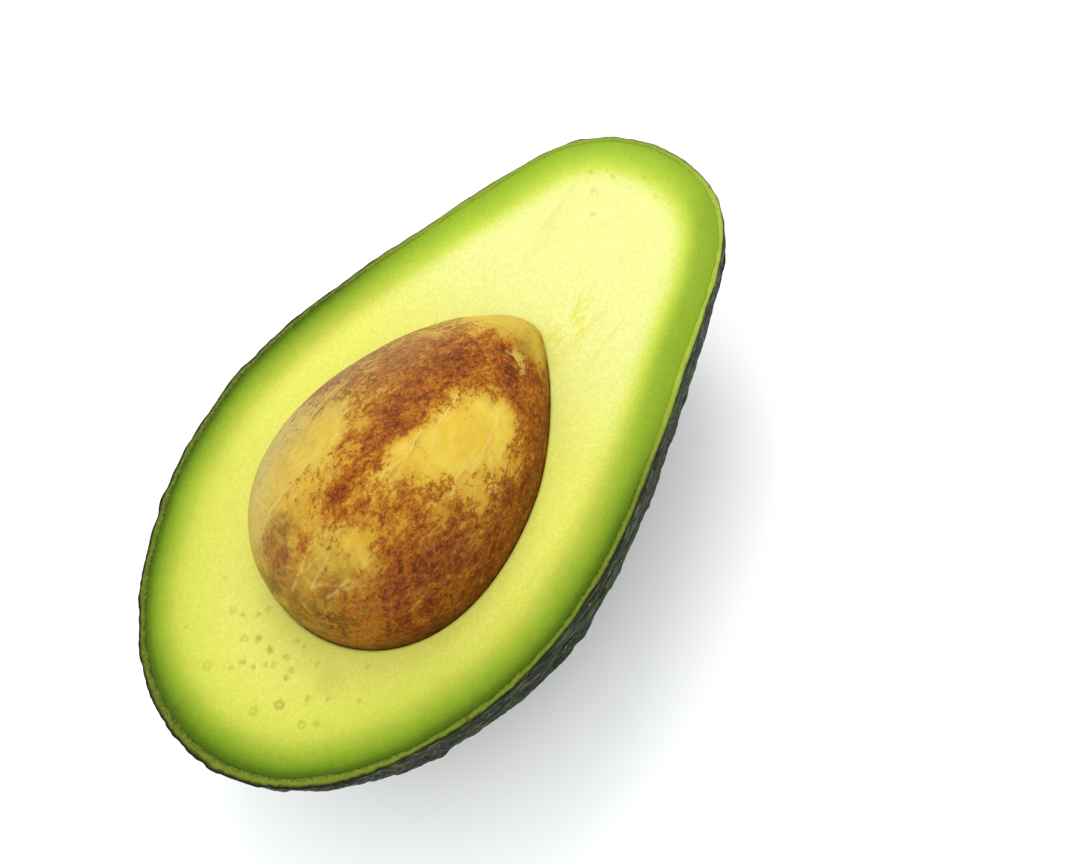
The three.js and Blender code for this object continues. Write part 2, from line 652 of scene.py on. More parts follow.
def peel_material():
    material, shader, place = new_material("avocado_peel")
    depth = attribute(shader, "peel_depth")
    relief = attribute(shader, "relief")
    wide = noise(place, 60.0, 3.0, 0.6, 0.4)
    fine = noise(place, 900.0, 3.0, 0.6)
    long = noise(place * (0.22, 1, 1), 700.0, 4.0, 0.65, 0.5)
    skin = tint(remap(wide, 0.36, 0.7), (24, 34, 9), (46, 68, 14))
    ripening = remap(noise(place, 46.0, 3.0, 0.6, 0.8), 0.44, 0.62, 0.0, 0.75)
    skin = tint(ripening, skin, (40, 27, 16))
    # Painted shade in the valleys between the pebbles, and a painted highlight on their tops.
    skin = tint(remap(relief, -0.45, 0.4), (10, 14, 5), skin)
    skin = tint(remap(relief, 0.0, 0.6, 0.0, 0.4), skin, (66, 86, 34))
    # A grey wax bloom on the ridges, laid on as a painted sheen.
    bloom_and_sheen = remap(long, 0.52, 0.68) * remap(relief, 0.0, 0.6, 0.04, 0.4)
    skin = tint(bloom_and_sheen * 0.6, skin, (98, 108, 84))
    # Small pebbles between the large ones, with painted shade in the seams and a painted highlight on
    # their domes.
    bend = noise(place, 300.0, 2.0, colour=True) - HALF
    bent = place * (0.62, 1, 1) + bend * 0.0016
    domes = cells(bent, 620.0, "SMOOTH_F1", 0.2)
    dome = remap(take(domes, "Distance"), 0.08, 0.62, 1.0, 0.0)
    skin = tint(remap(dome, 0.0, 0.5, 0.6, 0.0), skin, (11, 15, 5))
    skin = tint(remap(dome, 0.55, 1.0, 0.0, 0.22), skin, (74, 92, 44))
    # Painted sheen: fine light lengthways streaks, with painted shade between them, strongest just under
    # the cut.
    streaks = noise(place * (0.14, 1, 1), 1700.0, 3.0, 0.6, 0.2)
    along, across, up = parts(place)
    near_cut = remap(up, CUT_HEIGHT - 9 * MM, CUT_HEIGHT - 2 * MM, 0.1, 0.6)
    painted_sheen = remap(streaks, 0.5, 0.66) * near_cut
    skin = tint(remap(streaks, 0.5, 0.36) * near_cut, skin, (12, 18, 5))
    skin = tint(painted_sheen, skin, (112, 122, 88))
    # Yellow-green to tan flecks, each with its own size and tone.
    sway = noise(place, 1800.0, 2.0, colour=True) - HALF
    flecks = cells(place * (0.75, 1, 1) + sway * 0.0009, 640.0)
    pick = put(place.tree, "ShaderNodeSeparateColor", {0: take(flecks, "Color")})
    reach = maths("MULTIPLY_ADD", maths("POWER", take(pick, 2), 2.0), 0.14, 0.07)
    fleck = remap(take(flecks, "Distance") - reach, -0.07, 0.05, 1.0, 0.0)
    fleck = fleck * maths("GREATER_THAN", take(pick), 0.55)
    fleck_tone = ramp(
        take(pick, 1),
        [(0.0, 58, 78, 20), (0.5, 120, 128, 44), (0.8, 176, 160, 74), (1.0, 132, 84, 34)],
    )
    skin = tint(fleck * 0.8, skin, fleck_tone)
    # The cut through the peel: a dark outer line, an olive-yellow grainy band, a green inner line.
    grains = noise(place, 2600.0, 2.0, 0.6)
    jitter = centred(noise(place, 900.0, 4.0, 0.65)) * 0.24 * remap(depth, 0.05, 0.3)
    cut_place = depth + jitter
    band = ramp(
        cut_place,
        [
            (0.0, 17, 21, 9), (0.16, 24, 29, 10), (0.3, 66, 76, 16), (0.46, 102, 117, 26),
            (0.64, 100, 118, 24), (0.82, 80, 103, 14), (0.94, 62, 88, 8), (1.0, 60, 86, 6),
        ],
        "LINEAR",
    )
    neck_band = ramp(
        cut_place,
        [
            (0.0, 20, 25, 9), (0.06, 34, 40, 12), (0.2, 122, 138, 42), (0.45, 153, 172, 52),
            (0.7, 148, 172, 50), (1.0, 148, 178, 50),
        ],
        "LINEAR",
    )
    toward_neck = remap(along, 0.006, 0.028)
    band = tint(toward_neck, band, neck_band)
    # Painted light: the cut band is lighter on the -Y side.
    painted_light_side = remap(across, 0.004, -0.014)
    band = tint(painted_light_side, band, band * (1.5, 1.45, 1.5))
    grain_share = remap(grains, 0.42, 0.68, 0.0, 0.5) * remap(depth, 0.2, 0.45)
    band = tint(grain_share, band, (152, 164, 52))
    rust = remap(noise(place, 170.0, 3.0, 0.7), 0.62, 0.7, 0.0, 0.8)
    band = tint(rust, band, (104, 66, 24))
    cut = remap(depth, 0.015, 0.07)
    feed(shader, "Base Color", tint(cut, skin, band))
    polish = remap(noise(place, 85.0, 3.0, 0.6), 0.4, 0.62, 0.14, 0.42)
    skin_rough = polish + remap(fine, 0.3, 0.7, 0.0, 0.14)
    feed(shader, "Roughness", skin_rough + cut * 0.2)
    feed(shader, "Specular IOR Level", 0.0)
    feed(shader, "Coat Weight", 0.2)
    feed(shader, "Coat Roughness", 0.12)
    pores = noise(place * (0.6, 1, 1), 3200.0, 3.0, 0.6)
    lines = noise(place * (0.12, 1, 1), 1500.0, 2.0, 0.5, 0.6)
    crinkle = noise(place * (0.45, 1, 1), 620.0, 2.0, 0.5, 0.6)
    height = pores * 0.5 + lines * 0.8 + crinkle * 1.6 + dome * 2.0 + fleck * 0.4
    emboss(shader, height, 0.7, 0.14 * MM, "Normal", "Coat Normal")
    return material


def speck_material():
    material, shader, place = new_material("corky_speck")
    tone = attribute(shader, "tone")
    colour = ramp(
        tone,
        [
            (0.0, 40, 56, 14), (0.3, 66, 88, 20), (0.55, 122, 136, 40), (0.72, 184, 176, 70),
            (0.84, 166, 116, 46), (1.0, 92, 56, 24),
        ],
    )
    grain = noise(place, 5200.0, 2.0)
    feed(shader, "Base Color", tint(remap(grain, 0.35, 0.7, 0.0, 0.45), colour, (58, 58, 24)))
    feed(shader, "Roughness", remap(grain, 0.3, 0.7, 0.45, 0.7))
    emboss(shader, grain, 0.5, 0.05 * MM)
    return material


def scar_lines(skin):
    """Curved lines over the outside of the peel, each point with its share of the full width."""
    rng = np.random.default_rng(31)
    scars, stride = 26, 0.28 * MM
    reach_round, reach_down = 32 * MM, 30 * MM
    surface = BVHTree.FromPolygons(
        [v.co for v in skin.data.vertices], [p.vertices for p in skin.data.polygons]
    )
    points, links, wide = [], [], []
    for _ in range(scars):
        turn, fall = rng.uniform(0, 2 * math.pi), rng.uniform(8, 62)
        heading, bend = rng.choice((0.0, math.pi)) + rng.normal(0, 0.5), rng.normal(0, 0.016)
        steps = int(rng.uniform(8, 24) * MM / stride)
        for step in range(steps):
            place, _ = fruit_ring(np.array([turn]), fall, 0.0)
            near, normal, _, _ = surface.find_nearest(Vector(place[0]))
            if step:
                links.append((len(points) - 1, len(points)))
            points.append(near - normal * 0.04 * MM)
            wide.append(math.sin(math.pi * (step + 0.5) / steps) ** 0.6 * rng.uniform(0.6, 1.1))
            heading += bend + rng.normal(0, 0.07)
            turn += stride * math.cos(heading) / reach_round
            fall += math.degrees(stride * math.sin(heading) / reach_down)
            fall = min(max(fall, 4), 66)
    mesh = bpy.data.meshes.new("scar_lines")
    mesh.from_pydata(points, links, [])
    store(mesh, "wide", wide)
    return in_scene("scar_lines", mesh)


def corky_scar_tree():
    """Thin raised cords of cork, made along the lines they are given."""
    tree, given = form_tree("corky_scar", "Scar Width")
    width = named(tree, "wide") * given("Scar Width")
    line = take(put(tree, "GeometryNodeMeshToCurve", {0: given("Mesh")}))
    section = take(put(tree, "GeometryNodeCurvePrimitiveCircle", {"Resolution": 6, "Radius": 1.0}))
    feeds = {"Curve": line, "Profile Curve": section, "Scale": width, "Fill Caps": True}
    cord = take(put(tree, "GeometryNodeCurveToMesh", feeds))
    return close_tree(tree, given, take(put(tree, "GeometryNodeSetShadeSmooth", {0: cord})))


def scar_material():
    material, shader, place = new_material("corky_scar")
    grain = noise(place, 2600.0, 3.0, 0.6)
    patchy = noise(place, 240.0, 2.0)
    colour = tint(remap(patchy, 0.4, 0.62), (52, 44, 26), (112, 92, 60))
    colour = tint(remap(grain, 0.4, 0.7, 0.0, 0.6), colour, (66, 48, 28))
    feed(shader, "Base Color", colour)
    feed(shader, "Roughness", remap(grain, 0.3, 0.7, 0.5, 0.75))
    feed(shader, "Specular IOR Level", 0.2)
    emboss(shader, grain, 0.5, 0.05 * MM)
    return material


# Across the peel's cut edge: share of the way in, and how far it lies under the cut in millimetres
RIM_PROFILE = (
    (0.0, 0.07), (0.04, 0.02), (0.1, 0.0), (0.2, 0.01), (0.34, -0.02), (0.5, -0.03), (0.66, -0.01),
    (0.82, 0.01), (0.94, 0.03), (1.0, 0.05),
)


def peel_shell():
    """The shell's smooth form: up its outside to the rim, across it, and down inside."""
    built = RingMesh()
    n1, n2, n3, n4 = COLUMNS

    def roughness(turn, fall):
        """How much of its relief the peel has: the neck is smoother, and so is the knife's edge."""
        neck = 0.4 * np.clip(-np.cos(turn), 0, 1)
        return (1 - neck) * (0.62 + 0.38 * ease(fall, 0, 12))

    points, out = fruit_ring(np.zeros(1), 90.0, 0.0)
    built.ring(points, 0, outward=out, outside=1.0, peel_depth=0.0, roughness=1.0)
    for falls, size in (
        (np.linspace(89.2, 84, 5), n4),
        (np.linspace(83, 71, 13), n3),
        (np.linspace(70.2, 47, 30), n2),
        (np.linspace(46.4, 0.4, 76), n1),
    ):
        turn = turns(size)
        for fall in falls:
            points, out = fruit_ring(turn, fall, 0.0)
            rough = roughness(turn, fall)
            built.ring(points, 0, outward=out, outside=1.0, peel_depth=0.0, roughness=rough)
    outer_rings = len(built.rings)
    turn = turns(n1)
    thickness = peel_thickness(turn)
    rim_out, out = fruit_ring(turn, 0.0, 0.0)
    level = out * (1, 1, 0)
    lump = wander(turn, 8, range(20, 90, 3), 0.07 * MM)
    for share, drop in RIM_PROFILE:
        points = rim_out - level * (share * thickness)[:, None]
        points[:, 2] -= drop * MM - lump * math.sin(math.pi * share)
        depth = 0.02 + 0.98 * share
        rough = roughness(turn, 0)
        built.ring(points, 1, outward=out, outside=1 - share, peel_depth=depth, roughness=rough)
    shown_rings = len(built.rings)
    for falls, size in (
        (np.array([1.2, 3.0]), n1),
        (np.linspace(6, 24, 6), n2),
        (np.linspace(29, 66, 9), n3),
        (np.linspace(71, 88, 5), n4),
    ):
        inward = thickness[:: n1 // size, None]
        for fall in falls:
            points, out = fruit_ring(turns(size), fall, 0.0)
            built.ring(points - out * inward, 2, outward=out, outside=0.0, peel_depth=1.0)
    points, out = fruit_ring(np.zeros(1), 90.0, PEEL_THICKNESS)
    built.ring(points, 2, outward=out, outside=0.0, peel_depth=1.0)
    # The cut edge gets four times its own room on the map.
    squeeze = [1.0] * outer_rings + [4.0] * (shown_rings - outer_rings)
    shown = spoke_map(built, (0.44, 0.5), 6.2, squeeze)
    inside = np.zeros_like(shown)
    for (start, size), points in list(zip(built.rings, built.points))[shown_rings - 1 :]:
        inside[start : start + size] = (0.93, 0.09) + points[:, :2] * 1.1
    built.maps = {0: shown, 1: shown, 2: inside}
    return built.build("skin_form")


# ---------------------------------------------------------------- flesh


def distance_inside(points, outline, outward):
    """How far each point of the cut face lies inside the outline, measured square to it."""
    tree = kdtree.KDTree(len(outline))
    for number, place in enumerate(outline):
        tree.insert((place[0], place[1], 0.0), number)
    tree.balance()
    result = np.empty(len(points))
    for number, place in enumerate(points):
        _, near, _ = tree.find((place[0], place[1], 0.0))
        result[number] = np.dot(outline[near][:2] - place[:2], outward[near][:2])
    return np.maximum(result, 0)


def flesh_body():
    """The flesh's smooth form: up its outside, across the cut face, and down into the hollow."""
    built = RingMesh()
    n1, n2, n3, n4 = COLUMNS
    under = PEEL_THICKNESS + HAIRLINE + 0.22 * MM

    points, out = fruit_ring(np.zeros(1), 90.0, under)
    built.ring(points, 0, from_peel=0.0, on_face=0.0)
    for falls, size in (
        (np.linspace(88, 71, 5), n4),
        (np.linspace(66, 29, 9), n3),
        (np.linspace(24, 6, 6), n2),
        (np.array([3.0, 1.2]), n1),
    ):
        for fall in falls:
            points, out = fruit_ring(turns(size), fall, under)
            built.ring(points, 0, from_peel=0.0, on_face=0.0)
    turn = turns(n1)
    thickness = peel_thickness(turn) + HAIRLINE
    rim, out = fruit_ring(turn, 0.0, 0.0)
    rim = rim - out * (1, 1, 0) * thickness[:, None]
    level = out * (1, 1, 0)
    hollow, hollow_out = hollow_ring(turn, 0.0, STONE_CLEARANCE)
    hollow_level = hollow_out * (1, 1, 0)
    lip = hollow + hollow_level * HOLLOW_LIP
    for inset, drop in ((0.0, 0.5), (0.0, 0.07), (0.05, 0.03), (0.1, 0.0)):
        points = rim - level * inset * MM
        points[:, 2] = CUT_HEIGHT - drop * MM
        built.ring(points, 1, from_peel=inset * MM, on_face=0.0 if drop > 0.3 else 0.5)
    start = rim - level * 0.1 * MM
    rows = 88
    for row in range(1, rows + 1):
        share = row / rows
        share -= 0.08 * math.sin(2 * math.pi * share) / math.pi
        points = start + (lip - start) * share
        points[:, 2] = CUT_HEIGHT
        built.ring(points, 1, from_peel=distance_inside(points, rim, level), on_face=1.0)
    edge_distance = distance_inside(lip, rim, level)
    lip_rings = 6
    for number in range(1, lip_rings + 1):
        angle = number / lip_rings * math.pi / 2
        points = hollow + hollow_level * HOLLOW_LIP * (1 - math.sin(angle))
        points[:, 2] = CUT_HEIGHT - HOLLOW_LIP * (1 - math.cos(angle))
        built.ring(points, 1, from_peel=edge_distance, on_face=1 - number / lip_rings)
    for falls, size in (
        (np.array([3.2, 5.0, 7.5]), n1),
        (np.linspace(10.5, 38, 9), n2),
        (np.linspace(43, 74, 8), n3),
        (np.linspace(78, 87, 4), n4),
    ):
        for fall in falls:
            points, out = hollow_ring(turns(size), fall, STONE_CLEARANCE)
            built.ring(points, 2, from_peel=0.012 - 0.002 * fall / 90, on_face=0.0)
    points, out = hollow_ring(np.zeros(1), 90.0, STONE_CLEARANCE)
    built.ring(points, 2, from_peel=0.010, on_face=0.0)
    flat_outer = np.zeros((built.count, 2))
    face = np.zeros((built.count, 2))
    bowl = np.zeros((built.count, 2))
    for (first, size), points in zip(built.rings, built.points):
        plan = points[:, :2]
        face[first : first + size] = (0.5, 0.36) + plan * 9.4
        flat_outer[first : first + size] = (0.2, 0.85) + plan * 2.6
        bowl[first : first + size] = (0.62, 0.86) + (plan - hollow[:, :2].mean(0)) * 4.5
    built.maps = {0: flat_outer, 1: face, 2: bowl}
    return built.build("flesh_form")


def cut_face_tree():
    """Faint marks that the knife drew along the cut, and the slow swell of soft flesh."""
    tree, given = form_tree("cut_face", "Mark Spacing", "Mark Height", "Swell Height")
    place = here(tree) + joined(tree, y=given("Seed") * 0.21)
    marks = centred(noise(place * (0.05, 1, 1), 1.0 / given("Mark Spacing"), 2.0, 0.5, 0.3))
    swell = centred(noise(place, 75.0, 2.0))
    rise = marks * given("Mark Height") + swell * given("Swell Height")
    inner = remap(named(tree, "from_peel"), 0.0, 3 * MM, 0.15, 1.0)
    rise = rise * named(tree, "on_face") * inner
    return close_tree(tree, given, moved(tree, given("Mesh"), Offset=joined(tree, z=rise)))


# The ring of green inside the peel: millimetres in from the peel, and the colour there; the paler neck
# ring is partly the flesh's own colour and partly painted light
RING_REACH = 12.0
DEEP_RING = (
    (0.0, 76, 105, 5), (0.5, 93, 125, 10), (1.0, 119, 152, 22), (1.8, 145, 175, 37),
    (2.8, 170, 193, 52), (3.8, 193, 208, 69), (4.8, 213, 222, 80), (5.8, 225, 231, 88),
    (8.0, 236, 238, 100), (12.0, 245, 243, 114),
)
PALE_RING = (
    (0.0, 150, 182, 36), (0.6, 158, 191, 40), (1.8, 172, 205, 50), (2.8, 189, 215, 60),
    (3.8, 207, 228, 74), (4.8, 223, 238, 90), (5.8, 237, 248, 118), (7.0, 247, 252, 136),
    (9.0, 253, 254, 155), (12.0, 255, 254, 163),
)


def ring_stops(ring):
    return [(inside / RING_REACH, *colour) for inside, *colour in ring]


# Where vessels end on the cut: millimetres along and across, radius, ring or blot, and strength
VESSEL_ENDS = (
    (-41.7, 4.5, 0.8, "ring", 0.25), (-39.9, 1.6, 0.5, "blot", 0.4),
    (-38.3, 0.8, 0.6, "blot", 0.45), (-37.9, -0.8, 0.5, "blot", 0.4),
    (-36.1, 2.8, 0.6, "ring", 0.35), (-34.8, 1.1, 0.7, "blot", 0.55),
    (-34.9, -1.2, 0.6, "blot", 0.5), (-36.7, -2.0, 0.5, "blot", 0.4),
    (-36.1, -3.0, 0.5, "ring", 0.4), (-34.3, -3.7, 0.6, "blot", 0.4),
    (-31.8, -3.6, 0.5, "blot", 0.35), (-41.9, -4.9, 0.7, "ring", 0.35),
    (-39.2, -7.2, 0.8, "ring", 0.6), (-36.2, -5.5, 0.5, "blot", 0.5),
    (-35.1, -5.4, 0.5, "ring", 0.4), (-36.4, -9.8, 0.6, "blot", 0.4),
    (-39.2, -11.4, 0.6, "ring", 0.35), (-37.8, -12.9, 0.6, "blot", 0.3),
    (-34.7, -12.2, 0.5, "blot", 0.35), (-32.4, -15.5, 0.5, "blot", 0.3),
    (-32.5, 3.4, 0.6, "blot", 0.4), (-31.2, 2.8, 0.5, "ring", 0.3),
    (-33.9, 5.3, 0.5, "blot", 0.35), (-34.3, 7.0, 0.6, "ring", 0.3),
    (-39.9, 10.9, 0.5, "blot", 0.25), (-31.9, 10.9, 0.5, "blot", 0.25),
    (-31.8, -4.9, 0.4, "blot", 0.35), (-32.4, -7.9, 0.5, "blot", 0.3),
    (-28.5, -13.5, 0.5, "blot", 0.3), (-33.0, -10.8, 2.6, "blot", 0.16),
    (42.8, 7.4, 0.5, "blot", 0.3), (40.6, 5.3, 0.5, "ring", 0.25), (40.6, 4.3, 0.4, "blot", 0.2),
    (44.0, 5.5, 0.4, "blot", 0.22), (43.8, 4.2, 0.4, "blot", 0.3), (37.6, 2.7, 0.5, "blot", 0.25),
    (44.7, 1.6, 0.5, "blot", 0.2), (43.6, 0.8, 0.4, "blot", 0.16), (45.9, 0.2, 0.6, "blot", 0.2),
    (44.2, -3.0, 0.5, "blot", 0.2), (37.4, -2.2, 0.4, "blot", 0.16),
    (44.2, -5.3, 0.4, "blot", 0.22),
)


def vessel_marks(place):
    """How strongly each spot of the cut is stained by the end of a vessel."""
    total = 0.0
    for x, y, radius, kind, strength in VESSEL_ENDS:
        away = distance(place, (x * MM, y * MM, 0))
        if kind == "ring":
            away = maths("ABSOLUTE", away - 0.6 * radius * MM)
            mark = remap(away, 0.0, 0.65 * radius * MM, 0.8 * strength, 0.0)
        else:
            mark = remap(away, 0.1 * radius * MM, 1.2 * radius * MM, strength, 0.0)
        total = maths("MAXIMUM", total, mark)
    return total


def flesh_material():
    material, shader, place = new_material("avocado_flesh")
    inside = attribute(shader, "from_peel") * MM_IN_METRE
    along, across, _ = parts(place)
    # The green rim fades inwards, unevenly: deep at the broad end, pale and wide at the neck; the neck's
    # paleness is partly the flesh's own colour and partly painted light.
    uneven = centred(noise(place, 42.0, 2.0))
    streak = centred(noise(place * (1, 1, 0.2), 620.0, 3.0, 0.6, 0.8))
    wobble = uneven * 1.1 + streak * 0.3 - remap(along, -0.041, -0.049, 0.0, 0.7)
    wobble = wobble * remap(inside, 0.0, 3.0, 0.25, 1.0)
    reach = (inside + wobble) / RING_REACH
    deep = ramp(reach, ring_stops(DEEP_RING), "LINEAR")
    pale = ramp(reach, ring_stops(PALE_RING), "LINEAR")
    toward_neck = remap(along, 0.002, 0.028)
    colour = tint(toward_neck, deep, pale)
    richer = remap(along, -0.034, 0.004) * remap(inside, 4.0, 8.0)
    colour = tint(richer, colour, tint(toward_neck, (255, 255, 117), (255, 255, 160)))
    # Painted shade: darker green near the peel on the -Y side, towards the neck.
    painted_neck_shade = remap(across, -0.004, -0.012) * toward_neck * remap(inside, 2.2, 4.8, 0.6, 0.0)
    colour = tint(painted_neck_shade, colour, (138, 168, 34))
    # Strands along the fruit, a little yellower than the flesh round them.
    strands = noise(place * (0.12, 1, 1), 240.0, 3.0, 0.6, 0.6)
    strand = remap(strands, 0.56, 0.74, 0.0, 0.4) * remap(inside, 2.0, 8.0)
    colour = tint(strand, colour, (238, 226, 84))
    gold = distance(place * (0.55, 1.2, 0), (0.0118, -0.0062, 0.0))
    gold = remap(gold + streak * 0.0012, 0.0, 0.005, 1.0, 0.0)
    torn = remap(noise(place * (0.4, 1, 1), 700.0, 3.0, 0.6, 1.0), 0.44, 0.66)
    colour = tint(gold * torn, colour, (244, 236, 62))
    # Ends of vessels: small olive dots and rings, close together near both ends.
    flat_place = place * (1, 1, 0)
    sway = noise(flat_place, 1300.0, 2.0, colour=True) - HALF
    dot = vessel_marks(flat_place + sway * 0.0011)
    colour = tint(dot, colour, (142, 138, 26))
    # A slow mottle, and the fine sugar-like grain of the cut.
    mottle = remap(noise(place, 260.0, 4.0, 0.6, 0.6), 0.4, 0.66, 0.0, 0.22)
    colour = tint(mottle * remap(inside, 3.0, 8.0), colour, colour * (0.95, 0.93, 0.8))
    grain = noise(place, 2600.0, 3.0, 0.7)
    colour = tint(remap(grain, 0.44, 0.7, 0.0, 0.8), colour, colour * (1.12, 1.1, 1.3))
    colour = tint(remap(grain, 0.5, 0.3, 0.0, 0.45), colour, colour * (0.9, 0.9, 0.78))
    feed(shader, "Base Color", colour)
    feed(shader, "Roughness", remap(noise(place, 240.0, 3.0, 0.6), 0.35, 0.65, 0.34, 0.52))
    feed(shader, "Subsurface Weight", 0.12)
    feed(shader, "Subsurface Radius", (1.0, 0.9, 0.25))
    feed(shader, "Subsurface Scale", 0.0012)
    feed(shader, "Specular IOR Level", 0.08)
    beads = noise(place, 3600.0, 2.0, 0.5)
    drag = noise(place * (0.06, 1, 1), 1400.0, 2.0, 0.5, 0.4)
    height = beads * 0.7 + drag * 0.35 - dot * 0.9
    emboss(shader, height, 0.4, 0.08 * MM)
    return material


# ---------------------------------------------------------------- stone

# Where the ragged brown coat lies thick or is rubbed off: share of the length from the blunt end,
# degrees round from the top (towards -Y), reach along, reach round in degrees, and how much more coat.
COAT_PATCHES = (
    (0.50, 7, 0.20, 9, 0.75), (0.70, 8, 0.13, 17, 0.5), (0.82, 26, 0.08, 32, 0.75),
    (0.83, 60, 0.07, 24, 0.8), (0.28, 56, 0.12, 16, 1.0), (0.46, 84, 0.42, 15, 0.85),
    (0.15, 68, 0.08, 20, 0.4), (0.62, 68, 0.16, 10, 0.3), (0.42, 38, 0.13, 16, 0.18),
    (0.30, 12, 0.06, 8, 0.45), (0.35, 28, 0.07, 10, 0.2), (0.66, -16, 0.14, 10, 0.35),
    (0.11, -12, 0.05, 8, 0.25), (0.62, -55, 0.20, 34, 0.36), (0.58, -86, 0.14, 10, 0.3),
    (0.60, 33, 0.11, 14, -0.75), (0.68, 47, 0.07, 9, -0.6), (0.17, 26, 0.10, 11, -0.36),
    (0.22, -50, 0.20, 34, -0.6), (0.40, -16, 0.08, 8, -0.4), (0.96, 20, 0.05, 90, -0.5),
    (0.47, 19, 0.05, 6, -0.4),
)

# Soft stains under the coat, and the dusty lilac-brown bloom with a painted sheen over it, as patches of
# the same kind
STAIN_PATCHES = (
    (0.12, -8, 0.08, 13, 1.15), (0.19, 22, 0.10, 16, 0.14), (0.09, 50, 0.10, 30, 1.0),
    (0.30, 62, 0.22, 24, 0.5), (0.93, 42, 0.05, 26, 0.6), (0.55, 84, 0.40, 12, 0.5),
)
BLOOM_AND_SHEEN_PATCHES = (
    (0.60, -58, 0.19, 32, 1.0), (0.74, -18, 0.09, 13, 0.6), (0.62, -10, 0.06, 7, 0.35),
    (0.68, -88, 0.15, 20, 0.5),
)

# Where veins start: share of the length, degrees round, heading in degrees from the axis, length in mm
VEIN_STARTS = (
    (0.73, 45, 183, 15), (0.70, 21, 170, 12), (0.56, 20, 186, 13), (0.09, 21, -4, 9),
    (0.10, 31, 4, 10), (0.06, 10, 6, 11), (0.12, -22, 3, 16), (0.30, 20, 0, 8), (0.10, 50, -6, 10),
    (0.66, -60, 178, 14), (0.40, 140, 182, 16), (0.70, 200, 176, 18),
)


def stone_place(share, round_degrees):
    """A point on the smooth stone, about its own axis."""
    c = 1 - 2 * share
    radius = egg_radius(STONE_RADIUS_TERMS, np.asarray(c, float))
    angle = np.radians(round_degrees)
    return np.stack([-STONE_AXIS_LENGTH / 2 * c, -radius * np.sin(angle), radius * np.cos(angle)], -1)


def vein_points():
    """Branching veins, walked over the stone in small steps; each point has a thickness of 1 or less."""
    rng = np.random.default_rng(21)
    waiting = [(s, a, math.radians(h), length, 1.0) for s, a, h, length in VEIN_STARTS]
    trail = []
    step = 0.16 * MM
    while waiting:
        share, angle, heading, length, thick = waiting.pop()
        walked, drift = 0.0, 0.0
        while walked < length * MM and 0.02 < share < 0.97:
            radius = max(float(egg_radius(STONE_RADIUS_TERMS, np.asarray(1 - 2 * share))), 2 * MM)
            drift = 0.84 * drift + rng.normal(0, 0.15)
            share += step * math.cos(heading + drift) / STONE_AXIS_LENGTH
            angle += math.degrees(step * math.sin(heading + drift) / radius)
            fade = 1 - 0.7 * walked / (length * MM)
            trail.append((share, angle, thick * fade))
            if rng.random() < 0.022 and thick > 0.45:
                side = rng.choice((-1, 1))
                waiting.append(
                    (share, angle, heading + side * rng.uniform(0.3, 0.6), length * 0.45, thick * 0.62)
                )
            walked += step
    return np.array(trail)


def patchwork(share, around, patches):
    """The sum of soft patches at each point of the stone."""
    total = np.zeros(len(share))
    for middle, angle, reach, reach_round, more in patches:
        off = (around - angle + 180) % 360 - 180
        total += more * np.exp(-(((share - middle) / reach) ** 2) - (off / reach_round) ** 2)
    return total


def crowd_upwards(ray):
    """Moves directions towards the top, so that the side that shows has the finer mesh."""
    down = np.arccos(np.clip(ray[:, 2], -1, 1))
    less = down * (0.62 + 0.38 * (down / math.pi) ** 2)
    level = np.maximum(np.hypot(ray[:, 0], ray[:, 1]), 1e-12)
    side = np.sin(less) / level
    return np.stack([ray[:, 0] * side, ray[:, 1] * side, np.cos(less)], -1)


def stone_form():
    """The stone as a cube blown up to an egg, so that no pole pinches it."""
    n = STONE_ROWS
    grid = np.tan(np.linspace(-math.pi / 4, math.pi / 4, n + 1))
    a, b = np.meshgrid(grid, grid, indexing="ij")
    one = np.ones_like(a)
    sides = [(one, a, b), (-one, b, a), (b, one, a), (a, -one, b), (a, b, one), (b, a, -one)]
    corners = np.concatenate([np.stack(side, -1).reshape(-1, 3) for side in sides])
    unique, where = np.unique(np.round(corners, 7), axis=0, return_inverse=True)
    where = where.reshape(-1)
    i, j = np.meshgrid(np.arange(n), np.arange(n), indexing="ij")
    low = (i * (n + 1) + j).reshape(-1)
    quads = np.stack([low, low + n + 1, low + n + 2, low + 1], -1)
    faces = np.concatenate([where[quads + k * (n + 1) ** 2] for k in range(6)])
    ray = crowd_upwards(unique / np.linalg.norm(unique, axis=1, keepdims=True))
    c = -ray[:, 0]
    swell = np.polyval(STONE_RADIUS_TERMS[::-1], c) * MM
    body = np.stack([STONE_AXIS_LENGTH / 2 * ray[:, 0], swell * ray[:, 1], swell * ray[:, 2]], -1)
    share = (1 - c) / 2
    around = np.degrees(np.arctan2(-ray[:, 1], ray[:, 2]))
    # The tip runs out to a small blunt point.
    tip = np.clip((share - 0.93) / 0.07, 0, 1) ** 2
    body[:, 0] += 0.7 * MM * tip
    coat = 0.48 + patchwork(share, around, COAT_PATCHES)
    stain = patchwork(share, around, STAIN_PATCHES)
    bloom_and_sheen = patchwork(share, around, BLOOM_AND_SHEEN_PATCHES)
    trail = vein_points()
    tree = kdtree.KDTree(len(trail))
    for number, place in enumerate(stone_place(trail[:, 0], trail[:, 1])):
        tree.insert(place, number)
    tree.balance()
    vein = np.zeros(len(body))
    for number, place in enumerate(body):
        _, near, gap = tree.find(place)
        width = (0.07 + 0.08 * trail[near, 2]) * MM
        vein[number] = trail[near, 2] ** 0.5 * math.exp(-((gap / width) ** 2))
    mesh = bpy.data.meshes.new("stone_form")
    mesh.from_pydata(seat_stone(body).tolist(), [], faces.tolist())
    off = (around - 42 + 180) % 360 - 180
    flaky = np.exp(-(((share - 0.87) / 0.04) ** 2) - (off / 14) ** 2)
    looks = {"coat": coat, "vein": vein, "share": share, "flaky": flaky, "stain": stain, "bloom_and_sheen": bloom_and_sheen}
    for name, values in looks.items():
        store(mesh, name, values)
    lay_stone_map(mesh, body)
    return smooth_piece("stone_form", mesh)


